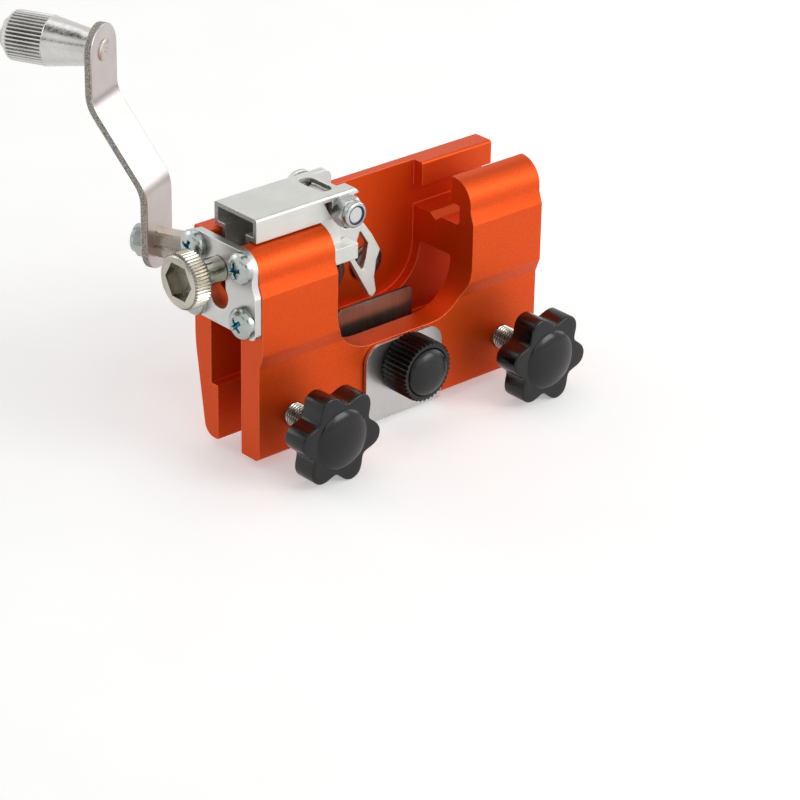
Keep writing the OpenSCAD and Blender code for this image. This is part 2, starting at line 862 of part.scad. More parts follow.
coil_gap = (spring_y1 - spring_y0) / coil_turns - 2 * wire_r;
echo(least_spring_gap = coil_gap);

module stop_spring() {
  color("saddlebrown")
  translate([pivot_x, 0, pivot_z]) tube(spring_path);
}

// Chain stop: points as shares of the knee's and the toe's distances from the pivot, with corner radii
stop_r = 0.8;
stop_hub_step = 0.15;
stop_outline_shares = [
  [0.643, -0.267, 0.6],
  [0.832, -0.407, 1],
  [1, -0.572, 0.6],
  [0.924, -0.663, 0.6],
  [0.885, -0.818, 1],
  [0.93, -0.954, 1],
  [0.857, -1, 0.8],
  [0.796, -0.972, 0.6],
  [0.398, -0.593, 0],
  [0.172, -0.388, 0.6],
  [0.188, -0.242, 0.4],
  [0.299, -0.277, 0],
  [0.255, -0.161, 0]
];
stop_hole_shares = [
  [0.586, -0.33, 0.5],
  [0.758, -0.477, 1],
  [0.713, -0.61, 1],
  [0.646, -0.723, 0.5],
  [0.49, -0.595, 1],
  [0.535, -0.407, 1]
];
function stop_rows(shares) = [for (s = shares) [s[0] * stop_w, s[1] * stop_h, s[2] * stop_r]];
hub_from = -100;
hub_turn = 210;
hub_steps = 28;
stop_seat_share = 0.2;
stop_seat_x = pivot_x + stop_seat_share * stop_w;

module stop_outline() {
  difference() {
    polygon(rounded(concat(
      [for (i = [0 : hub_steps]) let (a = hub_from - hub_turn * i / hub_steps) [stop_hub_r * cos(a), stop_hub_r * sin(a), 0]],
      stop_rows(stop_outline_shares)
    )));
    polygon(rounded(stop_rows(stop_hole_shares)));
  }
}

module chain_stop() {
  color("gainsboro")
  translate([pivot_x, channel_y - stop_hub_l / 2, pivot_z]) difference() {
    union() {
      along_y(0, stop_t) stop_outline();
      rod_y(stop_t / 2, stop_hub_l, stop_hub_r - stop_hub_step);
    }
    rod_y(-over, stop_hub_l + over, pivot_d / 2 + run_gap);
  }
}

// Spindle stations along the bush axis, from the window wall
burr_root = burr_out - burr_l;
shank_back = burr_root - shank_l;
washer_back = shank_back - washer_t;
washer_split = 0.05;
hub_back = washer_back - hub_l;
arm_back = hub_back - arm_t;
m5_r = 2.5;
crank_nut_af = 8;
crank_nut_hex_t = 3.7;
crank_nut_collar_t = 1.3;
crank_nut_collar_r = 4;
crank_ring_r = 3;
crank_ring_t = 1.2;
shaft_end_out = 0.3;
burr_socket = 6;
burr_stem_r = 1.6;

module at_crank() {
  at_bush(-1) children();
}

module thrust_washers() {
  color("silver")
  at_crank() for (z = [washer_back, washer_back + washer_t / 2]) {
    translate([0, 0, z]) difference() {
      cylinder(h = washer_t / 2 - washer_split, r = washer_d / 2);
      translate([0, 0, -over]) cylinder(h = washer_t + 2 * over, r = bore_r);
    }
  }
}

module grinding_spindle() {
  color("silver")
  at_crank() difference() {
    union() {
      translate([0, 0, washer_back]) cylinder(h = burr_root - washer_back, r = shank_d / 2);
      translate([0, 0, hub_back]) hexagon(hub_af, hub_l);
      translate([0, 0, arm_back - crank_nut_hex_t - crank_nut_collar_t - shaft_end_out])
        cylinder(h = arm_t + crank_nut_hex_t + crank_nut_collar_t + shaft_end_out, r = m5_r);
    }
    translate([0, 0, burr_root - burr_socket]) cylinder(h = burr_socket + over, r = burr_stem_r);
  }
}

module grinding_burr() {
  color("sienna")
  at_crank() turned([
    [0, burr_root - burr_socket],
    [burr_stem_r, burr_root - burr_socket],
    [burr_stem_r, burr_root],
    [burr_d / 2, burr_root],
    [burr_tip_d / 2, burr_out - burr_tip_d / 8],
    [burr_tip_d * 3 / 8, burr_out],
    [0, burr_out]
  ]);
}

// Crank arm: a flat bar with two bends, seen from its side with height along X and distance along Y
arm_bend_r = 5;
arm_top = arm_throw + arm_w / 2;
slant_angle = atan(arm_step / arm_slant);
bend_shift = arm_t * tan(slant_angle / 2);

module arm_side() {
  polygon(rounded([
    [-arm_w / 2, 0, 0],
    [arm_low, 0, arm_bend_r + arm_t],
    [arm_low + arm_slant, -arm_step, arm_bend_r],
    [arm_top, -arm_step, 0],
    [arm_top, -arm_step - arm_t, 0],
    [arm_low + arm_slant - bend_shift, -arm_step - arm_t, arm_bend_r + arm_t],
    [arm_low - bend_shift, -arm_t, arm_bend_r],
    [-arm_w / 2, -arm_t, 0]
  ]));
}

module arm_front() {
  circle(r = arm_w / 2);
  translate([0, arm_throw]) circle(r = arm_w / 2);
  translate([-arm_w / 2, 0]) square([arm_w, arm_throw]);
}

module crank_arm() {
  color("silver")
  at_crank() difference() {
    intersection() {
      translate([-arm_w / 2, 0, hub_back]) rotate([90, 0, 90]) linear_extrude(arm_w) arm_side();
      translate([0, 0, hub_back - arm_step - 2 * arm_t]) linear_extrude(arm_step + 3 * arm_t) arm_front();
    }
    translate([0, 0, arm_back - over]) cylinder(h = arm_t + 2 * over, r = m5_r);
    translate([0, arm_throw, arm_back - arm_step - over]) cylinder(h = arm_t + 2 * over, r = grip_pin_d / 2);
  }
}

module at_crank_nut() {
  at_crank() translate([0, 0, arm_back]) rotate([180, 0, 0]) children();
}

module crank_nut() {
  color("silver")
  at_crank_nut() lock_nut(crank_nut_af, crank_nut_hex_t, crank_nut_collar_r, crank_nut_collar_t,
    crank_ring_r, crank_ring_t, m5_r);
}

module crank_nut_ring() {
  color("midnightblue")
  at_crank_nut() translate([0, 0, crank_nut_hex_t + crank_nut_collar_t - crank_ring_t])
    nut_ring(crank_ring_r, crank_ring_t, m5_r);
}

// Grip and its riveted pin, measured outwards from the arm's outer face
grip_gap = 0.3;
rivet_r = 3.6;
rivet_t = 1;
pin_head_r = 4.2;
pin_head_t = 1.2;
grip_l = grip_taper_l + grip_knurl_l;
grip_edge = 0.8;
grip_flange_l = 1.5;

module at_grip() {
  at_crank() translate([0, arm_throw, arm_back - arm_step]) rotate([180, 0, 0]) children();
}

module grip_pin() {
  color("silver")
  at_grip() turned([
    [0, -arm_t - rivet_t],
    [rivet_r / 2, -arm_t - rivet_t],
    [rivet_r, -arm_t - rivet_t / 3],
    [rivet_r, -arm_t],
    [grip_pin_d / 2, -arm_t],
    [grip_pin_d / 2, grip_gap + grip_l + grip_gap],
    [pin_head_r, grip_gap + grip_l + grip_gap],
    [pin_head_r, grip_gap + grip_l + grip_gap + pin_head_t / 2],
    [pin_head_r - pin_head_t / 2, grip_gap + grip_l + grip_gap + pin_head_t],
    [0, grip_gap + grip_l + grip_gap + pin_head_t]
  ]);
}

module grip() {
  color("silver")
  at_grip() translate([0, 0, grip_gap]) turned([
    [grip_pin_d / 2 + run_gap, 0],
    [grip_neck_d / 2 - grip_edge / 2, 0],
    [grip_neck_d / 2, grip_edge / 2],
    [grip_neck_d / 2, grip_flange_l],
    [grip_d / 2, grip_taper_l],
    [grip_d / 2, grip_l - grip_edge],
    [grip_d / 2 - grip_edge, grip_l],
    [grip_pin_d / 2 + run_gap, grip_l]
  ]);
}

main_body();
end_plate();
end_plate_screws();
guide_bush_left();
guide_bush_right();
press_clip();
press_screw();
press_knob();
clamp_stud_left();
clamp_stud_right();
clamp_knob_left();
clamp_knob_right();
adjuster_screw();
carriage();
carriage_nut();
pivot_bolt();
pivot_nut();
pivot_nut_ring();
stop_spring();
chain_stop();
thrust_washers();
grinding_spindle();
grinding_burr();
crank_arm();
crank_nut();
crank_nut_ring();
grip_pin();
grip();
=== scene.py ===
"""Looks of the hand-cranked chainsaw sharpener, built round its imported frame.

Blender's values are in metres. Sizes, places and profiles of pieces are written in millimetres and scaled by MM."""
import bmesh
import bpy
import math
import random
from mathutils import Matrix, Vector


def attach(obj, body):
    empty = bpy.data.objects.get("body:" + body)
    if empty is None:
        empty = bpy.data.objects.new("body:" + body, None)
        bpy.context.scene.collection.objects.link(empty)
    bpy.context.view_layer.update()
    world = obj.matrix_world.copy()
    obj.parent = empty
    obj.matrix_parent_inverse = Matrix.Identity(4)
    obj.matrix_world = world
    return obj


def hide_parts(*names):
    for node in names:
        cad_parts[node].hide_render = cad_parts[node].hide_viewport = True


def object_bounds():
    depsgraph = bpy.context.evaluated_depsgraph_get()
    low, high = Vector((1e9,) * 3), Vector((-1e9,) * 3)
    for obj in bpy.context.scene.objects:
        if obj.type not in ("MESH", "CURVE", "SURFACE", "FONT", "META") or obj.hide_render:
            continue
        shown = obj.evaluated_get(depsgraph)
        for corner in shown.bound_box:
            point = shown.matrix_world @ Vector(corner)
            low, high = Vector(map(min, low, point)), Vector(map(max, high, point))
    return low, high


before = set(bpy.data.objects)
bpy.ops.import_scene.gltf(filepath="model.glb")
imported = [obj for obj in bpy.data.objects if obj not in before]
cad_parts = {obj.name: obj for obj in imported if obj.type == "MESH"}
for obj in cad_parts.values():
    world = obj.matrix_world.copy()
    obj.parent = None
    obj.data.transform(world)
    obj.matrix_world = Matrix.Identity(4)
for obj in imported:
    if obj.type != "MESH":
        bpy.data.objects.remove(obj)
cad_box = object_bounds()
MM = 0.001

# Camera, at the photograph's angle
CAMERA_AZIMUTH = -42.0
CAMERA_ELEVATION = 26.61
CAMERA_ROLL = 1.09
CAMERA_DISTANCE = 821.26 * MM
CAMERA_TARGET = Vector((10.34, -1.7, -5.33)) * MM
CAMERA_LENS = 146.5
CAMERA_SENSOR = 36
CAMERA_CLIP = 0.01

# Places in millimetres that the pieces made here share with the frame's nodes
CLAMP_X, CLAMP_Z = 34.0, 9.6
CLAMP_KNOB_Y = -23.9
PRESS_Z = 13.8
PRESS_KNOB_Y = -14.8
PLATE_FACE_X = -47.0
ADJUSTER_Y, ADJUSTER_Z = -1.0, 47.2
PIVOT = (-15.4, -8.8, 56.4)
SCREW_PLACES = ((-10.0, 50.5), (-10.5, 36.6), (7.5, 50.5), (7.5, 36.6))
SCREW_TURNS = (12, 40, -20, 65)

# The crank's axis leaves the window wall here; stations on it are millimetres behind that wall
BUSH_X, BUSH_Y, BUSH_Z = -6.35, 7.5, 31.0
BUSH_ANGLE = math.radians(25)
SIN, COS = math.sin(BUSH_ANGLE), math.cos(BUSH_ANGLE)
CRANK_AXIS = (-SIN, COS, 0)
ARM_OUT = 47.0
CRANK_NUT_OUT = 48.0
GRIP_PIN_OUT = 62.7
GRIP_OUT = 63.0
THROW = 48.7

# Merging distance, shortest edge and radius of a closed tip in the meshes made here, in millimetres
WELD = 0.0005
SHORTEST = 0.0002
TIP = 0.05


def linear(rgb):
    """An sRGB colour from 0 to 255 as linear red, green, blue and alpha."""
    values = [c / 255 for c in rgb]
    return [c / 12.92 if c <= 0.04045 else ((c + 0.055) / 1.055) ** 2.4 for c in values] + [1.0]


# Sockets of the Mix node for colours
MIX_FACTOR, MIX_FIRST, MIX_LAST, MIX_RESULT = 0, 6, 7, 2


class Finish:
    """A node material with object coordinates, which are in metres in the part's frame."""

    def __init__(self, name, metallic, roughness):
        self.material = bpy.data.materials.new(name)
        self.material.use_nodes = True
        self.tree = self.material.node_tree
        self.shader = self.tree.nodes["Principled BSDF"]
        self.shader.inputs["Metallic"].default_value = metallic
        self.shader.inputs["Roughness"].default_value = roughness
        coordinates = self.node("TexCoord")
        self.place = coordinates.outputs["Object"]
        self.normal = coordinates.outputs["Normal"]

    def node(self, kind, **values):
        made = self.tree.nodes.new("ShaderNode" + kind)
        for key, value in values.items():
            setattr(made, key, value)
        return made

    def join(self, source, target):
        self.tree.links.new(source, target)

    def noise(self, scale, detail=3.0, roughness=0.55, place=None):
        """A noise from 0 to 1 with the scale per metre."""
        made = self.node("TexNoise")
        made.inputs["Scale"].default_value = scale
        made.inputs["Detail"].default_value = detail
        made.inputs["Roughness"].default_value = roughness
        self.join(place or self.place, made.inputs["Vector"])
        return made.outputs["Fac"]

    def stretched(self, scale):
        """Object coordinates with a scale for each axis."""
        made = self.node("Mapping")
        made.inputs["Scale"].default_value = scale
        self.join(self.place, made.inputs["Vector"])
        return made.outputs["Vector"]

    def ramp(self, value, low, high, first, last):
        """The value's range from low to high as a range from first to last."""
        made = self.node("MapRange")
        for key, number in zip(("From Min", "From Max", "To Min", "To Max"), (low, high, first, last)):
            made.inputs[key].default_value = number
        self.join(value, made.inputs["Value"])
        return made.outputs["Result"]

    def facing(self, direction, low, high):
        """0 where the surface lies along the direction in the part's frame, and 1 where it faces it."""
        dot = self.node("VectorMath", operation="DOT_PRODUCT")
        self.join(self.normal, dot.inputs[0])
        dot.inputs[1].default_value = direction
        size = self.node("Math", operation="ABSOLUTE")
        self.join(dot.outputs["Value"], size.inputs[0])
        return self.ramp(size.outputs[0], low, high, 0, 1)

    def rounded(self, radius):
        """The normal with edges rounded by the radius in millimetres, and 1 on the edges."""
        edge = self.node("Bevel", samples=4)
        edge.inputs["Radius"].default_value = radius * MM
        dot = self.node("VectorMath", operation="DOT_PRODUCT")
        self.join(edge.outputs["Normal"], dot.inputs[0])
        self.join(self.node("NewGeometry").outputs["Normal"], dot.inputs[1])
        return edge.outputs["Normal"], self.ramp(dot.outputs["Value"], 0.985, 0.9, 0, 1)

    def blend(self, factor, first, last):
        """A mix of two node outputs."""
        made = self.node("Mix", data_type="RGBA")
        for index, source in ((MIX_FACTOR, factor), (MIX_FIRST, first), (MIX_LAST, last)):
            self.join(source, made.inputs[index])
        return made.outputs[MIX_RESULT]

    def mix(self, factor, first, last):
        """A mix of two sRGB colours."""
        made = self.node("Mix", data_type="RGBA")
        made.inputs[MIX_FIRST].default_value = linear(first)
        made.inputs[MIX_LAST].default_value = linear(last)
        self.join(factor, made.inputs[MIX_FACTOR])
        return made.outputs[MIX_RESULT]

    def tones(self, value, first, last, low=0.3, high=0.7):
        """The first sRGB colour up to the low value and the last one from the high value on."""
        return self.mix(self.ramp(value, low, high, 0, 1), first, last)

    def colour(self, source):
        self.join(source, self.shader.inputs["Base Color"])

    def roughness(self, value, first, last, low=0.3, high=0.7):
        """Roughness from first to last as the value goes from low to high."""
        self.join(self.ramp(value, low, high, first, last), self.shader.inputs["Roughness"])

    def bump(self, height, strength, depth, before=None):
        """Bumps of the depth in millimetres, on top of another normal."""
        made = self.node("Bump")
        made.inputs["Strength"].default_value = strength
        made.inputs["Distance"].default_value = depth * MM
        self.join(height, made.inputs["Height"])
        if before:
            self.join(before, made.inputs["Normal"])
        self.join(made.outputs["Normal"], self.shader.inputs["Normal"])
        return made.outputs["Normal"]


def anodised_orange():
    """Satin orange anodising on a bead-blasted extrusion, with faint die lines along X and a painted highlight on its
    rounded edges.
    """
    f = Finish("anodised_orange", 0.65, 0.4)
    f.shader.inputs["Specular IOR Level"].default_value = 0.35
    lines = f.noise(1.0, 2.0, 0.5, f.stretched((25, 2600, 2600)))
    grain = f.noise(4000, 1.0)
    normal, edge = f.rounded(0.35)
    face_tone = f.tones(grain, (211, 70, 7), (228, 82, 13), 0.35, 0.65)
    # edge_tone: paler orange on the rounded edges, a painted highlight
    edge_tone = f.tones(grain, (232, 104, 58), (246, 132, 86), 0.35, 0.65)
    f.colour(f.blend(edge, face_tone, edge_tone))
    f.roughness(grain, 0.46, 0.40)
    f.bump(grain, 0.24, 0.04, f.bump(lines, 0.08, 0.02, normal))
    return f.material


def zinc(name, dark, light, low, high, edge_radius=0):
    """Zinc plate between two tones and two roughnesses, with a painted highlight on its edges where they have a
    radius.
    """
    f = Finish(name, 1.0, high)
    tone = f.tones(f.noise(160), dark, light)
    normal = None
    if edge_radius:
        normal, edge = f.rounded(edge_radius)
        # Painted highlight: a pale tone on the rounded edges
        tone = f.blend(edge, tone, f.mix(f.noise(2000, 2.0), (222, 222, 219), (242, 242, 240)))
    f.colour(tone)
    f.roughness(f.noise(900, 2.0), low, high)
    f.bump(f.noise(3000, 2.0), 0.04, 0.01, normal)
    return f.material


def steel(name, dark, light, low, high, grain=4000, strength=0.03, depth=0.01):
    """Turned, cast or ground metal between two tones and two roughnesses."""
    f = Finish(name, 1.0, high)
    f.colour(f.tones(f.noise(110, 2.0), dark, light))
    f.roughness(f.noise(900, 2.0), low, high)
    f.bump(f.noise(grain, 2.0), strength, depth)
    return f.material


def crank_plate():
    """Nickel-plated strip steel: smooth rolled faces and darker, grainy sheared edges."""
    f = Finish("crank_plate", 1.0, 0.2)
    face = f.facing(CRANK_AXIS, 0.3, 0.5)
    shear = f.noise(2600)
    edge_tone = f.tones(shear, (100, 98, 92), (176, 173, 166), 0.35, 0.65)
    face_tone = f.tones(f.noise(90, 2.0), (186, 178, 176), (198, 191, 189))
    f.colour(f.blend(face, edge_tone, face_tone))
    f.roughness(face, 0.5, 0.3, 0, 1)
    f.bump(shear, 0.25, 0.03)
    return f.material


def brushed_stainless():
    """Sheet brushed along Z, with a darker tone on what lies inside the body."""
    f = Finish("brushed_stainless", 1.0, 0.36)
    strokes = f.noise(1.0, 3.0, 0.6, f.stretched((4800, 4800, 90)))
    outside_tone = f.tones(strokes, (196, 195, 193), (204, 203, 201))
    # A darker tone where the sheet lies inside the body
    darker_inside = f.tones(strokes, (104, 108, 100), (130, 134, 124))
    axes_apart = f.node("SeparateXYZ")
    f.join(f.place, axes_apart.inputs[0])
    inside = f.ramp(axes_apart.outputs["Y"], -13.5 * MM, -10 * MM, 0, 1)
    f.colour(f.blend(inside, outside_tone, darker_inside))
    f.roughness(strokes, 0.3, 0.36)
    f.bump(strokes, 0.05, 0.01)
    return f.material


def black_plastic(name, low, high):
    """Moulded black plastic with a fine orange-peel sheen."""
    f = Finish(name, 0.0, high)
    f.colour(f.tones(f.noise(300), (7, 7, 8), (11, 11, 12)))
    f.shader.inputs["Specular IOR Level"].default_value = 0.4
    f.roughness(f.noise(1800, 2.0), low, high)
    f.bump(f.noise(2600, 2.0), 0.10, 0.03)
    return f.material


def matte_aluminium():
    """Pale, bead-blasted aluminium with sawn ends across X and a painted highlight on its edges."""
    f = Finish("matte_aluminium", 0.8, 0.42)
    blasted = f.tones(f.noise(140), (208, 208, 203), (216, 216, 211))
    sawn = f.tones(f.noise(3000), (120, 118, 113), (182, 180, 174), 0.35, 0.65)
    # Painted highlight: a pale tone on the rounded edges, blended in below
    painted_edge_highlight = f.tones(f.noise(3000), (206, 205, 200), (240, 240, 236), 0.4, 0.6)
    normal, edge = f.rounded(0.3)
    f.colour(f.blend(edge, f.blend(f.facing((1, 0, 0), 0.8, 0.95), blasted, sawn), painted_edge_highlight))
    f.roughness(f.noise(3800, 2.0), 0.38, 0.48)
    f.bump(f.noise(6000, 2.0), 0.12, 0.02, normal)
    return f.material


def blue_nylon():
    """The blue insert of a self-locking nut."""
    f = Finish("blue_nylon", 0.0, 0.4)
    f.colour(f.tones(f.noise(900), (20, 28, 66), (32, 42, 84)))
    f.bump(f.noise(2500, 2.0), 0.08, 0.02)
    return f.material


def burr_grit():
    """Brown bonded abrasive with a sparkle of paler grains."""
    f = Finish("burr_grit", 0.35, 0.6)
    cells = f.node("TexVoronoi")
    cells.inputs["Scale"].default_value = 4200
    f.join(f.place, cells.inputs["Vector"])
    grains = cells.outputs["Distance"]
    f.colour(f.tones(grains, (146, 92, 62), (70, 40, 27), 0.1, 0.6))
    f.roughness(grains, 0.35, 0.75, 0.1, 0.6)
    f.bump(grains, 0.9, 0.08)
    return f.material


MATERIALS = {
    "orange": anodised_orange(),
    "zinc": zinc("zinc_plate", (196, 196, 193), (208, 208, 205), 0.28, 0.36, 0.25),
    "bright_zinc": zinc("bright_zinc", (160, 166, 163), (190, 195, 191), 0.22, 0.29),
    "blue_zinc": zinc("blue_zinc", (38, 104, 130), (70, 142, 164), 0.16, 0.24),
    "dark_steel": steel("ground_steel", (70, 68, 66), (104, 101, 98), 0.25, 0.4),
    "nickel": steel("nickel_plate", (172, 168, 157), (190, 186, 175), 0.16, 0.24),
    "worn_nickel": steel("worn_nickel", (166, 160, 147), (196, 190, 175), 0.2, 0.3),
    "cast_nickel": steel("cast_nickel", (192, 191, 188), (212, 211, 208), 0.2, 0.32, 1400, 0.3, 0.05),
    # A darker tone for the faces in thread, knurl and grip grooves
    "groove": steel("darker_groove", (104, 101, 95), (146, 142, 135), 0.3, 0.45),
    "stainless": brushed_stainless(),
    "aluminium": matte_aluminium(),
    "crank_plate": crank_plate(),
    "peened": steel("peened_steel", (186, 178, 172), (204, 197, 192), 0.3, 0.4),
    "black_gloss": black_plastic("black_gloss_plastic", 0.16, 0.26),
    "black_satin": black_plastic("black_satin_plastic", 0.26, 0.34),
    "blue": blue_nylon(),
    "spring": steel("spring_wire", (92, 78, 62), (134, 116, 94), 0.3, 0.45),
    "grit": burr_grit(),
}

NODE_FINISHES = {
    "main_body": "orange", "end_plate": "zinc", "end_plate_screws": "zinc",
    "guide_bush_left": "dark_steel", "guide_bush_right": "dark_steel",
    "press_clip": "stainless", "press_screw": "zinc", "press_knob": "black_satin",
    "clamp_stud_left": "zinc", "clamp_stud_right": "zinc",
    "clamp_knob_left": "black_gloss", "clamp_knob_right": "black_gloss",
    "adjuster_screw": "nickel", "carriage": "aluminium", "carriage_nut": "zinc",
    "pivot_bolt": "zinc", "pivot_nut": "zinc", "pivot_nut_ring": "blue", "stop_spring": "spring",
    "chain_stop": "aluminium", "thrust_washers": "zinc", "grinding_spindle": "nickel",
    "grinding_burr": "grit", "crank_arm": "crank_plate", "crank_nut": "zinc", "crank_nut_ring": "blue",
    "grip_pin": "nickel", "grip": "nickel",
}

for name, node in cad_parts.items():
    node.data.materials.clear()
    node.data.materials.append(MATERIALS[NODE_FINISHES[name]])


# Edges of the solids that stay on show: bevel width in millimetres
BEVELS = {
    "main_body": 0.35, "end_plate": 0.25, "guide_bush_left": 0.2, "guide_bush_right": 0.2, "press_clip": 0.15,
    "carriage": 0.35, "carriage_nut": 0.2, "pivot_bolt": 0.2, "chain_stop": 0.2, "thrust_washers": 0.15,
}
SHARP_ANGLE = math.radians(35)
SOLID_WELD = 0.002


def soften(node, width):
    """Rounds the solid's sharp edges for show and smooths the shading of its curved faces."""
    weld = node.modifiers.new("weld", "WELD")
    weld.merge_threshold = SOLID_WELD * MM
    bevel = node.modifiers.new("bevel", "BEVEL")
    bevel.width = width * MM
    bevel.segments = 2
    bevel.limit_method = "ANGLE"
    bevel.angle_limit = SHARP_ANGLE
    bevel.use_clamp_overlap = True
    node.modifiers.new("normals", "WEIGHTED_NORMAL").keep_sharp = False


for name, width in BEVELS.items():
    soften(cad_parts[name], width)


# Frames of the turned pieces: local Z points out of the body, towards the hand
def axes(x, y, z, place):
    """A matrix from the three axes and the place in millimetres."""
    turn = Matrix((Vector(x), Vector(y), Vector(z))).transposed().to_4x4()
    return Matrix.Translation(Vector(place) * MM) @ turn


def facing_front(x, y, z):
    """Local Z points along -Y from the place."""
    return axes((1, 0, 0), (0, 0, 1), (0, -1, 0), (x, y, z))


def facing_left(x, y, z):
    """Local Z points along -X from the place."""
    return axes((0, -1, 0), (0, 0, 1), (-1, 0, 0), (x, y, z))


def along_crank(out, up=0.0):
    """Local Z points outwards along the spindle, from a station on it."""
    place = (BUSH_X - SIN * out, BUSH_Y + COS * out, BUSH_Z + up)
    return axes((-COS, -SIN, 0), (0, 0, 1), CRANK_AXIS, place)


# Forms, as vertices in millimetres and faces
def at(value, angle):
    """A number, or what a function of the angle gives."""
    return value(angle) if callable(value) else value


def quarter(steps, first=0):
    """Angles from 0 to a right angle in equal steps."""
    return [math.pi / 2 * i / steps for i in range(first, steps + 1)]


def walls(rows, around):
    """Quads between rows of vertices, with a face on the first row and one on the last."""
    faces = []
    for i in range(rows - 1):
        for k in range(around):
            a, b = i * around + k, i * around + (k + 1) % around
            faces.append((a, b, b + around, a + around))
    last = (rows - 1) * around
    return faces + [tuple(range(around - 1, -1, -1)), tuple(range(last, last + around))]


def spun(rings, segments):
    """A closed form from rings of (height, radius), each a number or a function of the angle."""
    verts = []
    for height, radius in rings:
        for k in range(segments):
            angle = 2 * math.pi * k / segments
            r = at(radius, angle)
            verts.append((r * math.cos(angle), r * math.sin(angle), at(height, angle)))
    return verts, walls(len(rings), segments)


def piece(name, form, finish, place, body, replaced, smooth=32):
    """Makes one object with its place in its mesh, riding on a body in place of a CAD node."""
    verts, faces = form
    mesh = bpy.data.meshes.new(name)
    mesh.from_pydata([place @ (Vector(v) * MM) for v in verts], [], faces)
    bm = bmesh.new()
    bm.from_mesh(mesh)
    bmesh.ops.remove_doubles(bm, verts=bm.verts, dist=WELD * MM)
    bmesh.ops.dissolve_degenerate(bm, edges=bm.edges, dist=SHORTEST * MM)
    bmesh.ops.recalc_face_normals(bm, faces=bm.faces)
    bm.to_mesh(mesh)
    bm.free()
    for polygon in mesh.polygons:
        polygon.use_smooth = True
    mesh.set_sharp_from_angle(angle=math.radians(smooth))
    mesh.materials.append(MATERIALS[finish])
    made = bpy.data.objects.new(name, mesh)
    bpy.context.scene.collection.objects.link(made)
    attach(made, body)
    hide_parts(replaced)
    return made


def shade_grooves(made, place, low, high, inner, outer, finish):
    """Gives the faces between two heights and between two distances from the axis a second finish."""
    made.data.materials.append(MATERIALS[finish])
    back = place.inverted()
    for polygon in made.data.polygons:
        x, y, z = (back @ polygon.center) / MM
        if low < z < high and inner < math.hypot(x, y) < outer:
            polygon.material_index = len(made.data.materials) - 1


def arc(z0, r0, z1, r1, bulge, steps):
    """Heights and radii on a quarter of an ellipse from one ring to the other; bulge is 1 outwards, -1 inwards."""
    if bulge > 0:
        return [(z0 + (z1 - z0) * math.sin(t), r1 + (r0 - r1) * math.cos(t)) for t in quarter(steps)]
    return [(z1 + (z0 - z1) * math.cos(t), r0 + (r1 - r0) * math.sin(t)) for t in quarter(steps)]


def dome(z, height, radius, rise=1.0, fall=1.0, steps=14):
    """Rings of a closed dome on a ring that is already there."""
    return [(z + height * math.sin(t) ** rise, max(TIP, radius * math.cos(t) ** fall)) for t in quarter(steps, 1)]


def hexagonal(flats):
    """Radius of a hexagon with corners at multiples of 60 degrees."""
    return lambda angle: flats / 2 / math.cos((angle % (math.pi / 3)) - math.pi / 6)


def capped(radius, limit):
    """The smaller of a radius function and a number."""
    return lambda angle: min(at(radius, angle), limit)


def fluted(radius, depth, count, sharp):
    """Radius with grooves along the axis."""
    return lambda angle: radius - depth * (0.5 - 0.5 * math.cos(angle * count)) ** sharp


def thread(z0, z1, radius, pitch, depth, chamfer=0.6, steps=10):
    """Rings of a right-hand V thread with a chamfer at both ends."""
    rings = []
    count = max(2, int(round((z1 - z0) / pitch * steps)))
    for i in range(count + 1):
        z = z0 + (z1 - z0) * i / count
        limit = radius - max(0, chamfer - (z - z0)) - max(0, chamfer - (z1 - z))

        def ring(angle, z=z, limit=limit):
            turn = (z / pitch - angle / (2 * math.pi)) % 1
            return min(limit, radius - depth * min(1, 1.25 * abs(2 * turn - 1)))
        rings.append((z, ring))
    return rings


# Clamp knobs: outline, thickness, rounded edge and dome; and their studs
KNOB_R = 12.2
KNOB_T = 7.0
KNOB_LOBES = 6
KNOB_VALLEY = 3.0
KNOB_TURN = math.radians(-10)
KNOB_EDGE = 0.55
KNOB_DOME_R = 7.2
KNOB_DOME_H = 2.0
KNOB_SEGMENTS = 144
STUD_R = 3.0
STUD_PITCH = 0.8
STUD_DEPTH = 0.45


def knob_radius(inset):
    """Radius of the lobed outline, moved inwards by the inset."""
    def radius(angle):
        wave = (1 - math.cos((angle - KNOB_TURN) * KNOB_LOBES)) / 2
        return KNOB_R - inset - KNOB_VALLEY * wave ** 1.25
    return radius


def clamp_knob(side, x):
    """A six-lobed knob with a domed face, and its threaded stud."""
    rings = [(0, 4.5), (0, knob_radius(KNOB_EDGE))]
    for t in quarter(5, 1):
        rings.append((KNOB_EDGE * (1 - math.cos(t)), knob_radius(KNOB_EDGE * (1 - math.sin(t)))))
    for t in quarter(5):
        rings.append((KNOB_T - KNOB_EDGE * (1 - math.sin(t)), knob_radius(KNOB_EDGE * (1 - math.cos(t)))))
    dome_foot = KNOB_DOME_R + 0.5
    rings += [(KNOB_T, lambda a: 0.5 * (knob_radius(KNOB_EDGE)(a) + KNOB_DOME_R)), (KNOB_T + 0.02, dome_foot)]
    rings += dome(KNOB_T, KNOB_DOME_H, dome_foot, rise=1.35)
    piece("knob_" + side, spun(rings, KNOB_SEGMENTS), "black_gloss", facing_front(x, CLAMP_KNOB_Y, CLAMP_Z),
          "clamp_handle_" + side, "clamp_knob_" + side)
    place = facing_front(x, 0, CLAMP_Z)
    form = spun(thread(2.4, 28.9, STUD_R, STUD_PITCH, STUD_DEPTH), 48)
    made = piece("stud_" + side, form, "nickel", place, "clamp_spindle_" + side, "clamp_stud_" + side)
    shade_grooves(made, place, 2.8, 28.5, 2.0, STUD_R - 0.2, "groove")


clamp_knob("left", -CLAMP_X)
clamp_knob("right", CLAMP_X)


# Press knob: the dome rises from a dished face inside the flutes
PRESS_FLUTES = 38
PRESS_T = 8.3
PRESS_DISH = 8.05
PRESS_DOME_R = 6.1
PRESS_DOME_H = 2.25


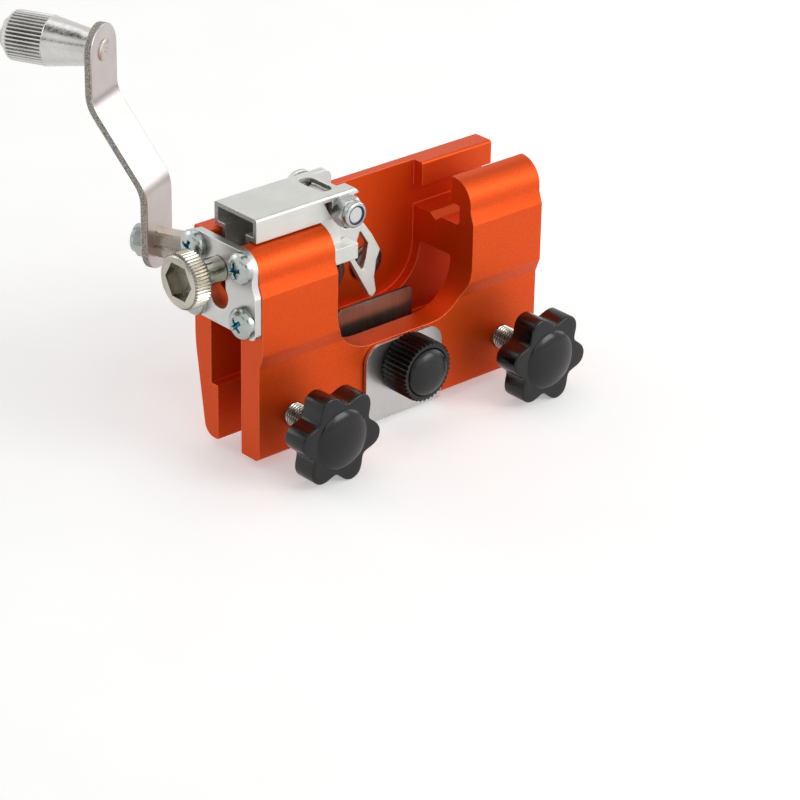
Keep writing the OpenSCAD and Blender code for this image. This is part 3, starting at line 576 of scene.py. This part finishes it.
def press_parts():
    """The fluted knob with its domed face, and its screw."""
    flute = fluted(7.85, 0.8, PRESS_FLUTES, 0.7)
    shallow = fluted(7.5, 0.5, PRESS_FLUTES, 0.7)
    rings = [(0, 3.5), (0, capped(flute, 7.4)), (0.4, flute), (PRESS_T - 0.4, flute), (PRESS_T, shallow),
             (PRESS_T, 6.35), (PRESS_DISH, PRESS_DOME_R)]
    rings += dome(PRESS_DISH, PRESS_DOME_H, PRESS_DOME_R, fall=0.9)
    piece("press_knob_fluted", spun(rings, PRESS_FLUTES * 8), "black_satin", facing_front(0, PRESS_KNOB_Y, PRESS_Z),
          "press_handle", "press_knob", 40)
    piece("press_thread", spun(thread(3.4, 22.5, 2.5, 0.8, 0.4), 40), "zinc", facing_front(0, 0, PRESS_Z),
          "press_spindle", "press_screw")


press_parts()


# Adjuster: its groove reaches that far behind the plate's face, and the thread goes on from there to its end
KNURL_R = 7.0
KNURL_FLUTES = 50
ADJUSTER_R = 3.0
ADJUSTER_END = 22.0
GROOVE_BACK = 2.15


def adjuster():
    """The straight-knurled head with its hexagon socket, the plain shank, the groove and the thread."""
    knurl = fluted(KNURL_R, 0.45, KNURL_FLUTES, 0.7)
    socket = hexagonal(8.3)
    rings = [(z - ADJUSTER_END, r) for z, r in thread(0, ADJUSTER_END - GROOVE_BACK, ADJUSTER_R, 1.0, 0.55)]
    rings += [(-GROOVE_BACK, 2.35), (0.15, 2.35), (0.15, 3.25), (7.2, 3.25), (7.2, 6.2)]
    rings += [(7.25, capped(knurl, 6.4)), (7.8, knurl), (11.6, knurl), (12.15, capped(knurl, 6.45)), (12.4, 6.1)]
    rings += [(12.4, 5.5), (12.1, capped(hexagonal(8.5), 5.3)), (11.7, socket), (8.6, socket), (8.1, 0.1)]
    place = facing_left(PLATE_FACE_X, ADJUSTER_Y, ADJUSTER_Z)
    made = piece("adjuster_knurled", spun(rings, KNURL_FLUTES * 6), "nickel", place,
                 "adjuster", "adjuster_screw", 30)
    shade_grooves(made, place, 7.5, 12.5, 5.2, KNURL_R + 0.2, "worn_nickel")
    shade_grooves(made, place, 7.5, 11.9, 6.3, KNURL_R - 0.27, "groove")


adjuster()


def lock_nut(flats, hexagon_t, collar_t, ring_r, ring_t, bore):
    """A hexagon nut with a chamfered foot, a rounded collar and a seat for the nylon ring."""
    corner, outline = flats / math.sqrt(3), hexagonal(flats)
    foot, crown, collar = flats / 2 * 0.98, flats / 2 * 0.985, flats / 2 * 0.93
    top = hexagon_t + collar_t
    rings = [(0, bore), (0, foot)]
    rings += [(0.35 * i / 3, capped(outline, foot + (corner - foot) * i / 3)) for i in range(1, 4)]
    rings += [(hexagon_t - 0.45 + 0.45 * i / 4, capped(outline, corner - (corner - crown) * i / 4)) for i in range(5)]
    rings += [(hexagon_t, collar)] + arc(top - 0.55, collar, top, collar - 0.75, 1, 5)
    rings += [(top, ring_r), (top - ring_t, ring_r), (top - ring_t, bore), (0, bore)]
    return spun(rings, 96)


def nylon_ring(z, outer, t, inner):
    """The nut's insert, with softened edges."""
    rings = [(z, inner), (z, outer - 0.1), (z + 0.1, outer), (z + t - 0.15, outer), (z + t, outer - 0.15),
             (z + t, inner + 0.15), (z + t - 0.15, inner), (z, inner)]
    return spun(rings, 64)


def nuts():
    """The pivot's M4 and the crank's M5 self-locking nut."""
    pivot = facing_front(*PIVOT)
    piece("pivot_nut_chamfered", lock_nut(7.0, 3.4, 1.6, 2.4, 1.0, 2.02), "bright_zinc", pivot,
          "carriage_group", "pivot_nut")
    piece("pivot_nylon", nylon_ring(4.0, 2.38, 0.95, 1.95), "blue", pivot,
          "carriage_group", "pivot_nut_ring")
    crank = along_crank(CRANK_NUT_OUT)
    piece("crank_nut_chamfered", lock_nut(8.0, 3.7, 1.3, 3.0, 1.2, 2.52), "bright_zinc", crank,
          "crank", "crank_nut")
    piece("crank_nylon", nylon_ring(3.8, 2.98, 1.15, 2.45), "blue", crank,
          "crank", "crank_nut_ring")


nuts()


# Stations on the spindle, and the burr's size and mesh
HUB_START = 36.0
HUB_END = 46.0
SPINDLE_END = 53.3
BURR_FRONT = -3.5
BURR_L = 15.0
BURR_R = 2.5
BURR_RINGS = 90
BURR_SIDES = 72


def spindle():
    """Shank, hexagon hub and threaded end of the grinding spindle."""
    flats = hexagonal(6.7)
    rings = [(11.5, 2.4), (11.8, 2.98), (HUB_START, 2.98), (HUB_START, 3.2)]
    rings += [(HUB_START + 0.3 * i / 2, capped(flats, 3.3 + 0.28 * i)) for i in range(1, 3)]
    rings += [(HUB_START + 0.5, flats), (HUB_END - 0.3, flats), (HUB_END, capped(flats, 3.6)), (HUB_END, 2.5)]
    rings += thread(HUB_END + 0.05, SPINDLE_END, 2.5, 0.8, 0.42)
    piece("spindle_turned", spun(rings, 96), "worn_nickel", along_crank(0), "crank", "grinding_spindle")


def burr():
    """The grinding burr with a rounded front and a grainy surface."""
    random.seed(7)
    rings = []
    for i in range(BURR_RINGS + 1):
        z = BURR_FRONT + BURR_L * i / BURR_RINGS
        near = min(1, (z - BURR_FRONT) / 0.7)
        base = BURR_R - 0.2 * (1 - i / BURR_RINGS)
        limit = base * (0.75 + 0.25 * math.sqrt(max(0, 1 - (1 - near) ** 2)))
        grains = [random.uniform(-0.07, 0.0) for _ in range(BURR_SIDES)]

        def ring(angle, limit=limit, grains=grains):
            return limit + grains[int(round(angle / (2 * math.pi) * BURR_SIDES)) % BURR_SIDES]
        rings.append((z, ring))
    piece("burr_grit", spun(rings, BURR_SIDES), "grit", along_crank(0), "crank", "grinding_burr", 180)


spindle()
burr()


GRIP_R = 6.45
GRIP_FLUTES = 38
GRIP_END = 23.5
GRIP_BORE = 2.55


def grip():
    """The tapered sleeve with straight grooves on its thick end."""
    flute = fluted(GRIP_R, 0.5, GRIP_FLUTES, 0.9)
    rings = [(0, GRIP_BORE), (0, 4.25)] + arc(0, 4.25, 0.4, 4.65, -1, 4)[1:] + [(1.5, 4.65)]
    rings += [(1.5 + 10.5 * i / 6, 4.65 + 1.72 * i / 6) for i in range(1, 7)]
    rings += [(12.05, 6.42), (12.2, capped(flute, 6.43)), (12.5, flute), (22.1, flute), (22.5, capped(flute, 6.3))]
    rings += [(22.75, 6.0), (GRIP_END, 5.25), (GRIP_END, GRIP_BORE), (0, GRIP_BORE)]
    place = along_crank(GRIP_OUT, THROW)
    made = piece("grip_grooved", spun(rings, GRIP_FLUTES * 8), "cast_nickel", place,
                 "crank_grip", "grip", 30)
    shade_grooves(made, place, 12.4, 22.2, 5.8, GRIP_R - 0.3, "groove")


grip()


# Crank arm: a flat bar that steps outwards between two bends, at these heights above the crank's axis
ARM_HALF = 6.8
ARM_T = 2.0
ARM_EDGE = 0.35
ARM_BENDS = (15.15, 36.15)
ARM_BEND_R = 10.0
ARM_STEP = 14.7
END_STATIONS = 24
BEND_STATIONS = 12


def arm_path():
    """Stations of the crank arm's middle line, as height, step outwards and direction, with rounded bends."""
    knots = [(-ARM_HALF, 0.0), (ARM_BENDS[0], 0.0), (ARM_BENDS[1], ARM_STEP), (THROW + ARM_HALF, ARM_STEP)]
    ends = [ARM_HALF * (1 - math.cos(math.pi / 2 * (i / END_STATIONS))) + 0.02 for i in range(END_STATIONS + 1)]
    found = [(knots[0][0] + along, 0.0, 0.0) for along in ends]
    for before, (height, out), after in zip(knots, knots[1:], knots[2:]):
        turn_in = math.atan2(out - before[1], height - before[0])
        turn_out = math.atan2(after[1] - out, after[0] - height)
        reach = ARM_BEND_R * math.tan(abs(turn_out - turn_in) / 2)
        start = (height - reach * math.cos(turn_in), out - reach * math.sin(turn_in))
        end = (height + reach * math.cos(turn_out), out + reach * math.sin(turn_out))
        for i in range(BEND_STATIONS + 1):
            t = i / BEND_STATIONS
            x = (1 - t) ** 2 * start[0] + 2 * t * (1 - t) * height + t * t * end[0]
            y = (1 - t) ** 2 * start[1] + 2 * t * (1 - t) * out + t * t * end[1]
            found.append((x, y, turn_in + (turn_out - turn_in) * t))
    return found + [(knots[-1][0] - along, ARM_STEP, 0.0) for along in reversed(ends)]


def crank_arm():
    """The bent flat bar with round ends, as one loft with softened edges."""
    corners = []
    for quadrant, (sx, sy) in enumerate(((1, 1), (-1, 1), (-1, -1), (1, -1))):
        for k in range(4):
            a = math.pi / 2 * (k / 3) + quadrant * math.pi / 2
            corners.append((sx, sy, math.cos(a) * ARM_EDGE, math.sin(a) * ARM_EDGE))
    verts, path = [], arm_path()
    for height, out, turn in path:
        past_end = max(0, -height, height - THROW)
        wide = math.sqrt(max(0.05, ARM_HALF ** 2 - past_end ** 2))
        edge = min(1, wide)
        for sx, sy, dx, dy in corners:
            across = sx * (wide - ARM_EDGE * edge) + dx * edge
            through = sy * (ARM_T / 2 - ARM_EDGE) + dy
            verts.append((across, height - through * math.sin(turn), out + through * math.cos(turn)))
    form = (verts, walls(len(path), len(corners)))
    made = piece("arm_bent", form, "crank_plate", along_crank(ARM_OUT), "crank", "crank_arm", 50)
    made.modifiers.new("normals", "WEIGHTED_NORMAL").keep_sharp = True


# Grip pin, with its peened end on the arm
PEEN_R = 2.8
PEEN_TOP = -2.75
PEEN_RINGS = 8
PIN_R = 2.48
PIN_END = 25.3


def grip_pin():
    """The grip's pin, with a low, unevenly peened end on the arm and a round head at the far end."""
    random.seed(11)
    dents = [random.uniform(-0.16, 0.06) for _ in range(48)]
    rings = [(PEEN_TOP, TIP)]
    for i in range(1, PEEN_RINGS + 1):
        def height(angle, r=PEEN_R * i / PEEN_RINGS, i=i):
            dent = dents[(i * 6 + int(angle / (2 * math.pi) * 12)) % len(dents)]
            return PEEN_TOP + 0.45 * (r / PEEN_R) ** 3 - dent * (1 - r / 3.4)
        rings.append((height, PEEN_R * i / PEEN_RINGS))
    rings += [(-1.95, 2.85), (-1.9, PIN_R), (24.1, PIN_R), (24.1, 4.0), (24.25, 4.2), (24.7, 4.2)]
    rings += arc(24.7, 4.2, PIN_END, 3.4, 1, 4)[1:] + [(PIN_END, TIP)]
    piece("grip_pin_peened", spun(rings, 48), "peened", along_crank(GRIP_PIN_OUT, THROW),
          "crank", "grip_pin", 40)


crank_arm()
grip_pin()


# Pan heads with a cross recess
HEAD_R = 4.0
HEAD_RIM = 0.9
HEAD_TOP = 3.0
CROSS_REACH = 2.0
CROSS_HALF = 0.55


def cross_recess(radius, angle):
    """Depth of a cross recess at a place on a screw's head."""
    x, y = abs(radius * math.cos(angle)), abs(radius * math.sin(angle))
    edge = min(max(y - CROSS_HALF, x - CROSS_REACH), max(x - CROSS_HALF, y - CROSS_REACH), x + y - 1.25)
    return min(1, max(0, -edge / 0.3)) * (1.5 - 0.45 * radius)


def pan_head():
    """A domed screw head with a cross recess and a short shank behind it."""
    rings = [(-1.9, 2.0), (0, 2.0), (0, HEAD_R - 0.15), (0.15, HEAD_R), (HEAD_RIM, HEAD_R)]
    for z, r in arc(HEAD_RIM, HEAD_R, HEAD_TOP, 0.1, 1, 34)[1:]:
        rings.append((lambda a, z=z, r=r: z - cross_recess(r, a), r))
    return spun(rings, 96)


def plate_screws():
    """The four pan-head screws as one piece, with blue in their recesses."""
    verts, faces = [], []
    for (y, z), turn in zip(SCREW_PLACES, SCREW_TURNS):
        place = facing_left(PLATE_FACE_X, y, z)
        spin = Matrix.Rotation(math.radians(turn), 4, "Z")
        more, joined = pan_head()
        start = len(verts)
        verts += [tuple((place @ (spin @ (Vector(v) * MM))) / MM) for v in more]
        faces += [tuple(start + k for k in face) for face in joined]
    made = piece("plate_screws", (verts, faces), "bright_zinc", Matrix.Identity(4),
                 "frame_body", "end_plate_screws", 30)
    made.data.materials.append(MATERIALS["blue_zinc"])
    places = [Vector((PLATE_FACE_X, y, z)) for y, z in SCREW_PLACES]
    for polygon in made.data.polygons:
        middle = polygon.center / MM
        offset = min(places, key=lambda p: (p - middle).length) - middle
        radius = math.hypot(offset.y, offset.z)
        surface = HEAD_TOP - (HEAD_TOP - HEAD_RIM) * (1 - math.sqrt(max(0, 1 - (radius / HEAD_R) ** 2)))
        if radius < CROSS_REACH + 0.1 and offset.x < surface - 0.22:
            polygon.material_index = 1


plate_screws()


# Torsion spring round the pivot, between two places along Y
WIRE_R = 0.3
WIRE_SIDES = 12
COIL_R = 2.4
COIL_TURNS = 2.25
COIL_STEPS = 24
COIL_START, COIL_END = -7.15, -4.95
SPRING_LEG = 4.0


def stop_spring():
    """The torsion spring round the pivot, as one bent wire."""
    points = []
    count = int(COIL_STEPS * COIL_TURNS)
    for i in range(count + 1):
        a = math.radians(90 - 360 * i / COIL_STEPS)
        y = COIL_START + (COIL_END - COIL_START) * i / count
        points.append(Vector((COIL_R * math.cos(a), y, COIL_R * math.sin(a))))

    def leg(i):
        step = points[i + 1] - points[i]
        return SPRING_LEG * Vector((step.x, 0, step.z)).normalized()
    points = [points[0] - leg(0)] + points + [points[-1] + leg(count - 1)]
    verts = []
    centre = Vector((PIVOT[0], 0, PIVOT[2]))
    for i, point in enumerate(points):
        tangent = (points[min(i + 1, len(points) - 1)] - points[max(i - 1, 0)]).normalized()
        side = tangent.cross(Vector((0, 1, 0))).normalized()
        up = side.cross(tangent)
        for k in range(WIRE_SIDES):
            a = 2 * math.pi * k / WIRE_SIDES
            verts.append(tuple(point + WIRE_R * 0.97 * (side * math.cos(a) + up * math.sin(a)) + centre))
    piece("spring_wire", (verts, walls(len(points), WIRE_SIDES)), "spring", Matrix.Identity(4),
          "carriage_group", "stop_spring", 60)


stop_spring()


def make_camera():
    """The camera, with the photograph's azimuth, elevation, roll and distance."""
    a, e, r = (math.radians(v) for v in (CAMERA_AZIMUTH, CAMERA_ELEVATION, CAMERA_ROLL))
    back = Vector((math.sin(a) * math.cos(e), -math.cos(a) * math.cos(e), math.sin(e)))
    right = Vector((math.cos(a), math.sin(a), 0))
    up = back.cross(right)
    right, up = right * math.cos(r) + up * math.sin(r), up * math.cos(r) - right * math.sin(r)
    data = bpy.data.cameras.new("camera")
    data.lens = CAMERA_LENS
    data.sensor_width = CAMERA_SENSOR
    data.clip_start = CAMERA_CLIP
    camera = bpy.data.objects.new("camera", data)
    turn = Matrix((right, up, back)).transposed().to_4x4()
    camera.matrix_world = Matrix.Translation(CAMERA_TARGET + back * CAMERA_DISTANCE) @ turn
    bpy.context.scene.collection.objects.link(camera)
    bpy.context.scene.camera = camera


def aimed(place, target):
    """A matrix at the place, with local -Z towards the target."""
    turn = (Vector(target) - Vector(place)).to_track_quat("-Z", "Y").to_matrix().to_4x4()
    return Matrix.Translation(place) @ turn


def area_light(name, place, target, size, power):
    """A rectangular lamp at the place, aimed at the target, with its power in watts."""
    data = bpy.data.lights.new(name, "AREA")
    data.shape = "RECTANGLE"
    data.size, data.size_y = size
    data.energy = power
    light = bpy.data.objects.new(name, data)
    light.matrix_world = aimed(place, target)
    bpy.context.scene.collection.objects.link(light)


def board(name, size, place, material):
    """A flat rectangle of the studio."""
    x, y = size[0] / 2, size[1] / 2
    mesh = bpy.data.meshes.new(name)
    mesh.from_pydata([(-x, -y, 0), (x, -y, 0), (x, y, 0), (-x, y, 0)], [], [(0, 1, 2, 3)])
    mesh.materials.append(material)
    made = bpy.data.objects.new(name, mesh)
    made.matrix_world = place
    bpy.context.scene.collection.objects.link(made)
    return made


def dark_card(name, place, target, size):
    """A dark board that only shows in reflections."""
    f = Finish(name, 0.0, 0.9)
    f.colour(f.mix(f.noise(8, 2.0), (22, 22, 24), (30, 30, 32)))
    card = board(name, size, aimed(place, target), f.material)
    card.visible_camera = card.visible_diffuse = card.visible_shadow = False


def shown_rays(tree):
    """1 for the rays that show the background: from the camera, in reflections and through glass."""
    path = tree.nodes.new("ShaderNodeLightPath")
    seen = path.outputs["Is Camera Ray"]
    for ray in ("Is Glossy Ray", "Is Transmission Ray"):
        either = tree.nodes.new("ShaderNodeMath")
        either.operation = "MAXIMUM"
        tree.links.new(seen, either.inputs[0])
        tree.links.new(path.outputs[ray], either.inputs[1])
        seen = either.outputs[0]
    return seen


# Strength of the world on the object, where the background shows with 1, and glow of the floor where it shows
WORLD_STRENGTH, FLOOR_GLOW = 0.32, 0.36
FLOOR_SIZE, FLOOR_GAP = 6, 0.1


def make_world():
    """A world that is white where it shows and dimmer as light."""
    world = bpy.data.worlds.new("studio")
    bpy.context.scene.world = world
    world.use_nodes = True
    tree = world.node_tree
    background = tree.nodes["Background"]
    background.inputs["Color"].default_value = (1, 1, 1, 1)
    strength = tree.nodes.new("ShaderNodeMapRange")
    strength.inputs["To Min"].default_value = WORLD_STRENGTH
    strength.inputs["To Max"].default_value = 1.0
    tree.links.new(shown_rays(tree), strength.inputs["Value"])
    tree.links.new(strength.outputs["Result"], background.inputs["Strength"])


def make_floor():
    """A pale floor just under the part, a little brighter where it shows."""
    f = Finish("pale_floor", 0.0, 0.7)
    f.colour(f.tones(f.noise(30, 2.0), (240, 240, 239), (243, 243, 242)))
    f.shader.inputs["Emission Color"].default_value = (1, 1, 1, 1)
    f.join(f.ramp(shown_rays(f.tree), 0, 1, 0, FLOOR_GLOW), f.shader.inputs["Emission Strength"])
    place = Matrix.Translation((0, 0, cad_box[0][2] - FLOOR_GAP * MM))
    board("floor", (FLOOR_SIZE, FLOOR_SIZE), place, f.material)


# Name, place, target, size and watts
LAMPS = (
    ("key", (0.5, -0.95, 0.55), (0, 0, 0.02), (0.6, 0.6), 5.7),
    ("fill", (-0.15, -0.95, 0.6), (0, 0, 0.02), (0.8, 0.6), 1.0),
    ("side", (0.9, -0.22, 0.36), (0, 0, 0.03), (0.5, 0.5), 1.4),
    ("top", (0.05, 0.25, 1.0), (0, 0, 0.02), (0.9, 0.7), 1.4),
    ("rear", (-0.4, 0.9, 0.5), (0, 0, 0.03), (0.6, 0.4), 1.2),
)

# Name, place, target and size
CARDS = (
    ("card_behind_camera", (-0.86, -0.95, 0.62), (0, 0, 0.03), (0.6, 0.5)),
    ("card_left", (-1.2, -0.05, 0.6), (0, 0, 0.1), (0.8, 0.2)),
    ("card_above", (0.1, 0.1, 0.8), (0.1, 0.1, 0), (1.3, 0.26)),
    ("card_right", (0.62, 0.0, 0.0), (0.62, 0.0, -1), (0.5, 0.8)),
)

make_camera()
make_world()
make_floor()
for lamp in LAMPS:
    area_light(*lamp)
for card in CARDS:
    dark_card(*card)
bpy.context.scene.view_settings.view_transform = "Standard"
